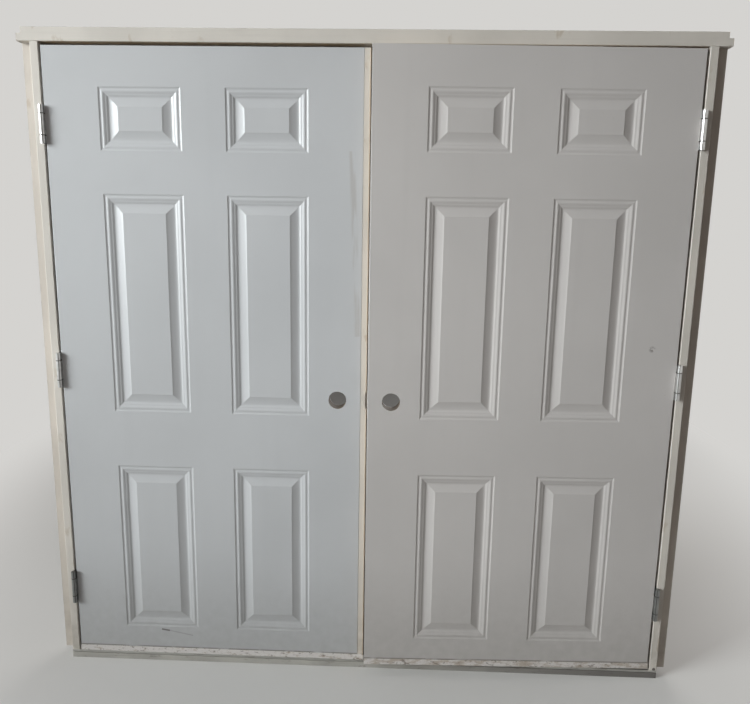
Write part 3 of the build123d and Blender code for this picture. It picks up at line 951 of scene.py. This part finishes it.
class DOOR_OT_leaf_inside(bpy.types.Operator):
    """Finish the timber and foam inside the leaves, and their caps and meeting strip"""

    bl_idname = "door.leaf_inside"
    bl_label = "Leaf timber, foam and caps"

    def execute(self, context):
        for name, node in nodes.items():
            if not name.startswith(("left_leaf_", "right_leaf_")):
                continue
            side = name.split("_")[0]
            if name.endswith(("_stile", "_block")):
                paint(node, "upright pine")
            elif name.endswith("_rail"):
                paint(node, "level pine")
            elif name.endswith("foam_core"):
                paint(node, "foam")
            elif name.endswith("bottom_cap"):
                paint(node, f"{side} cap")
            elif name.endswith("astragal"):
                paint(node, "meeting strip")
            elif name.endswith("astragal_seal"):
                paint(node, "seal")
        return {"FINISHED"}


class DOOR_OT_frame(bpy.types.Operator):
    """Prime the jambs, head and outer strips"""

    bl_idname = "door.frame"
    bl_label = "Jambs, head and strips"

    def execute(self, context):
        for name in ("left_jamb", "right_jamb", "head_jamb", "head_nailing_strip"):
            paint(nodes[name], "frame")
        for name in ("left_nailing_strip", "right_nailing_strip"):
            paint(nodes[name], "strips")
        joint_bead()
        return {"FINISHED"}


class DOOR_OT_hinges(bpy.types.Operator):
    """Plate the hinges and set their screws"""

    bl_idname = "door.hinges"
    bl_label = "Hinges and screws"

    def execute(self, context):
        for name, node in nodes.items():
            if name.endswith(("hinge_pin", "hinge_plate", "jamb_plate")):
                paint(node, "hinge")
        for side, sign in (("left", -1), ("right", 1)):
            self.set_screws(context, side, sign)
        return {"FINISHED"}

    def set_screws(self, context, side, sign):
        """Screws of one side's jamb plates, which stay with the frame, and of its leaf plates."""
        radius = context.scene.door_sizes.screw_radius
        jamb_spots = []
        leaf_spots = []
        for level in HINGE_LEVELS:
            for depth, z in hinge_screw_spots(f"{side}_{level}_hinge_jamb_plate"):
                jamb_spots.append(Vector((sign * (JAMB_FACE_X - SCREW_PROUD), FACE_Y + depth, z)))
            for depth, z in hinge_screw_spots(f"{side}_leaf_{level}_hinge_plate"):
                leaf_spots.append(on_leaf(side, -SCREW_PROUD, z - FOOT_Z[side], depth))
        repeated(f"{side}_jamb_hinge_screws", jamb_spots, (0.0, -sign * math.pi / 2, 0.0), radius,
                 screw_shape, "screw", "frame")
        turn = (0.0, sign * math.pi / 2, AJAR if side == "right" else 0.0)
        repeated(f"{side}_leaf_hinge_screws", leaf_spots, turn, radius,
                 screw_shape, "screw", f"{side}_leaf")


class DOOR_OT_nails(bpy.types.Operator):
    """Drive nails through the outer strips and screws through the head"""

    bl_idname = "door.nails"
    bl_label = "Frame nails"

    def execute(self, context):
        sizes = context.scene.door_sizes
        for side, sign in (("left", -1), ("right", 1)):
            low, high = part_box(f"{side}_nailing_strip")
            x = low.x if sign < 0 else high.x
            y = (low.y + high.y) / 2
            spots = []
            z = low.z + NAIL_ABOVE_FOOT
            while z < high.z - NAIL_BELOW_TOP:
                spots.append(Vector((x, y, z)))
                z += sizes.nail_pitch
            repeated(f"{side}_strip_nails", spots, (0.0, sign * math.pi / 2, 0.0), sizes.nail_radius,
                     nail_shape, "screw", "frame")
        spots = [Vector((x, y, HEAD_TOP)) for x in (-HEAD_SCREW_X, HEAD_SCREW_X) for y in HEAD_SCREW_Y]
        repeated("head_screws", spots, (0.0, 0.0, 0.0), sizes.screw_radius,
                 screw_shape, "screw", "frame")
        return {"FINISHED"}


class DOOR_OT_sill(bpy.types.Operator):
    """Finish the sill, the threshold and the seals"""

    bl_idname = "door.sill"
    bl_label = "Sill, threshold and seals"

    def execute(self, context):
        paint(nodes["sill_base"], "sill")
        paint(nodes["threshold"], "threshold")
        for name in ("threshold_seal", "left_weatherstrip", "right_weatherstrip", "head_weatherstrip"):
            paint(nodes[name], "seal")
        sizes = context.scene.door_sizes
        (y0, z0), (y1, z1) = SLOPE_TOP, SLOPE_FOOT
        pitches = sizes.tread_ribs - 1 + 2 * RIB_MARGIN
        spots = []
        for number in range(sizes.tread_ribs):
            share = (number + RIB_MARGIN) / pitches
            spots.append(Vector((0.0, y0 + (y1 - y0) * share, z0 + (z1 - z0) * share)))
        repeated("threshold_ribs", spots, (0.0, 0.0, 0.0), sizes.rib_radius,
                 rib_shape, "threshold", "frame")
        return {"FINISHED"}


class DOOR_OT_stage(bpy.types.Operator):
    """Lay the floor and set up the light and the camera"""

    bl_idname = "door.stage"
    bl_label = "Stage"

    def execute(self, context):
        lay_floor(context.scene.door_colours.floor)
        surround(context.scene)
        hang_lamps()
        set_camera(context.scene)
        context.scene.view_settings.view_transform = "Standard"
        return {"FINISHED"}


def lay_floor(base):
    """A plain pale floor that runs into the backdrop far away."""
    bm = bmesh.new()
    bmesh.ops.create_grid(bm, x_segments=2, y_segments=2, size=FLOOR_REACH)
    floor = linked("floor", plain_mesh("floor", bm))
    f = Finish("plain floor", Roughness=0.85)
    f.colour(f.mix(f.noise(0.8, 3.0), shade(base, 0.98), shade(base, 1.02)))
    offset = f.vector("SUBTRACT", f.place, FADE_CENTRE)
    distance = f.vector("LENGTH", f.vector("MULTIPLY", offset, FADE_SQUEEZE))
    backdrop = f.node("ShaderNodeEmission", {}, {"Color": BACKDROP})
    f.cover(backdrop.outputs[0], f.fade(distance, FADE_START, FADE_END) * f.seen_rays())
    floor.data.materials.append(f.material)


def surround(scene):
    """A pale surround to look at, which gives only a little light."""
    world = bpy.data.worlds.new("studio")
    scene.world = world
    world.use_nodes = True
    making = Nodes(world.node_tree)
    making.tree.nodes.clear()
    light = making.node("ShaderNodeBackground", {},
                        {"Color": SURROUND_COLOUR, "Strength": SURROUND_STRENGTH})
    seen = making.node("ShaderNodeBackground", {}, {"Color": BACKDROP, "Strength": 1.0})
    mix = making.node("ShaderNodeMixShader", {},
                      {0: making.seen_rays(), 1: light.outputs[0], 2: seen.outputs[0]})
    making.node("ShaderNodeOutputWorld", {}, {"Surface": mix.outputs[0]})


def hang_lamps():
    """A large soft lamp from the left, a weak fill from the front and a lamp for the back."""
    for name, place, aim, size, spread, power, colour in LAMPS:
        lamp = bpy.data.lights.new(name, "AREA")
        lamp.shape = "SQUARE"
        lamp.size = size
        lamp.spread = math.radians(spread)
        lamp.energy = power
        lamp.color = colour
        holder = linked(name, lamp)
        holder.location = place
        holder.rotation_euler = (Vector(aim) - Vector(place)).to_track_quat("-Z", "Y").to_euler()
        holder.visible_camera = False


def set_camera(scene):
    """The photograph's viewpoint."""
    forward = Vector((math.sin(YAW) * math.cos(PITCH), math.cos(YAW) * math.cos(PITCH), -math.sin(PITCH)))
    level = Vector((math.cos(YAW), -math.sin(YAW), 0.0))
    upward = level.cross(forward)
    right = level * math.cos(ROLL) + upward * math.sin(ROLL)
    up = upward * math.cos(ROLL) - level * math.sin(ROLL)
    camera = bpy.data.cameras.new("camera")
    camera.sensor_fit = "HORIZONTAL"
    camera.sensor_width = SENSOR_WIDTH
    camera.lens = FOCAL_PIXELS / PICTURE_WIDTH * SENSOR_WIDTH
    holder = linked("camera", camera)
    turn = Matrix((right, up, -forward)).transposed().to_4x4()
    holder.matrix_world = Matrix.Translation(CAMERA_PLACE) @ turn
    scene.camera = holder


class DOOR_PT_panel(bpy.types.Panel):
    """Sizes, colours and the steps of the making"""

    bl_label = "Prehung doors"
    bl_idname = "DOOR_PT_panel"
    bl_space_type = "VIEW_3D"
    bl_region_type = "UI"
    bl_category = "Doors"

    def draw(self, context):
        layout = self.layout
        for group in (context.scene.door_sizes, context.scene.door_colours):
            for key in group.__annotations__:
                layout.prop(group, key)
        for operator in OPERATORS:
            layout.operator(operator.bl_idname)


OPERATORS = (
    DOOR_OT_leaf_faces,
    DOOR_OT_leaf_inside,
    DOOR_OT_frame,
    DOOR_OT_hinges,
    DOOR_OT_nails,
    DOOR_OT_sill,
    DOOR_OT_stage,
)
CLASSES = (DoorSizes, DoorColours, *OPERATORS, DOOR_PT_panel)


def register():
    for cls in CLASSES:
        bpy.utils.register_class(cls)
    bpy.types.Scene.door_sizes = PointerProperty(type=DoorSizes)
    bpy.types.Scene.door_colours = PointerProperty(type=DoorColours)


def unregister():
    del bpy.types.Scene.door_colours
    del bpy.types.Scene.door_sizes
    for cls in reversed(CLASSES):
        bpy.utils.unregister_class(cls)


def main():
    register()
    bpy.ops.door.leaf_faces()
    bpy.ops.door.leaf_inside()
    bpy.ops.door.frame()
    bpy.ops.door.hinges()
    bpy.ops.door.nails()
    bpy.ops.door.sill()
    bpy.ops.door.stage()


if __name__ == "__main__":
    main()
